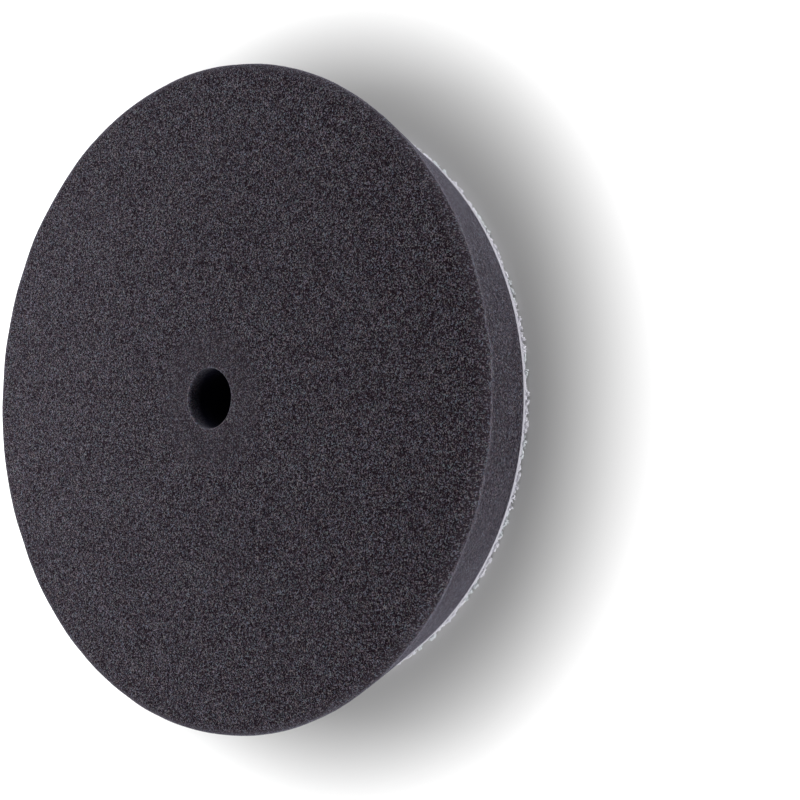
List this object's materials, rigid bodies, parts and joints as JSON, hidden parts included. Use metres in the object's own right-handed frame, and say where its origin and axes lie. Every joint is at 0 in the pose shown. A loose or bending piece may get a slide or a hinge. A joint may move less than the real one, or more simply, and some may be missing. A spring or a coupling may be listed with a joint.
{
  "type": "polishing pad",
  "caption": "Round black foam polishing pad with a rounded working edge, tapered side, centre hole and a pale loop backing for a hook-and-loop plate.",
  "frame": {"origin": "centre of the loop backing's face, on the pad's axis", "axes": "+Z along the pad's axis from the backing to the working face; X and Y lie in the backing's face and are alike, because the pad is turned"},
  "size_m": [0.15, 0.15, 0.027],
  "materials": {
    "open_cell_foam": "matt black open-cell polyurethane foam",
    "melted_film": "melted hot-melt adhesive film",
    "brushed_loop_knit": "pale grey brushed loop knit"
  },
  "bodies": {
    "root": {"foam_body": "open_cell_foam", "adhesive_film": "melted_film", "loop_backing": "brushed_loop_knit"}
  },
  "joints": []
}
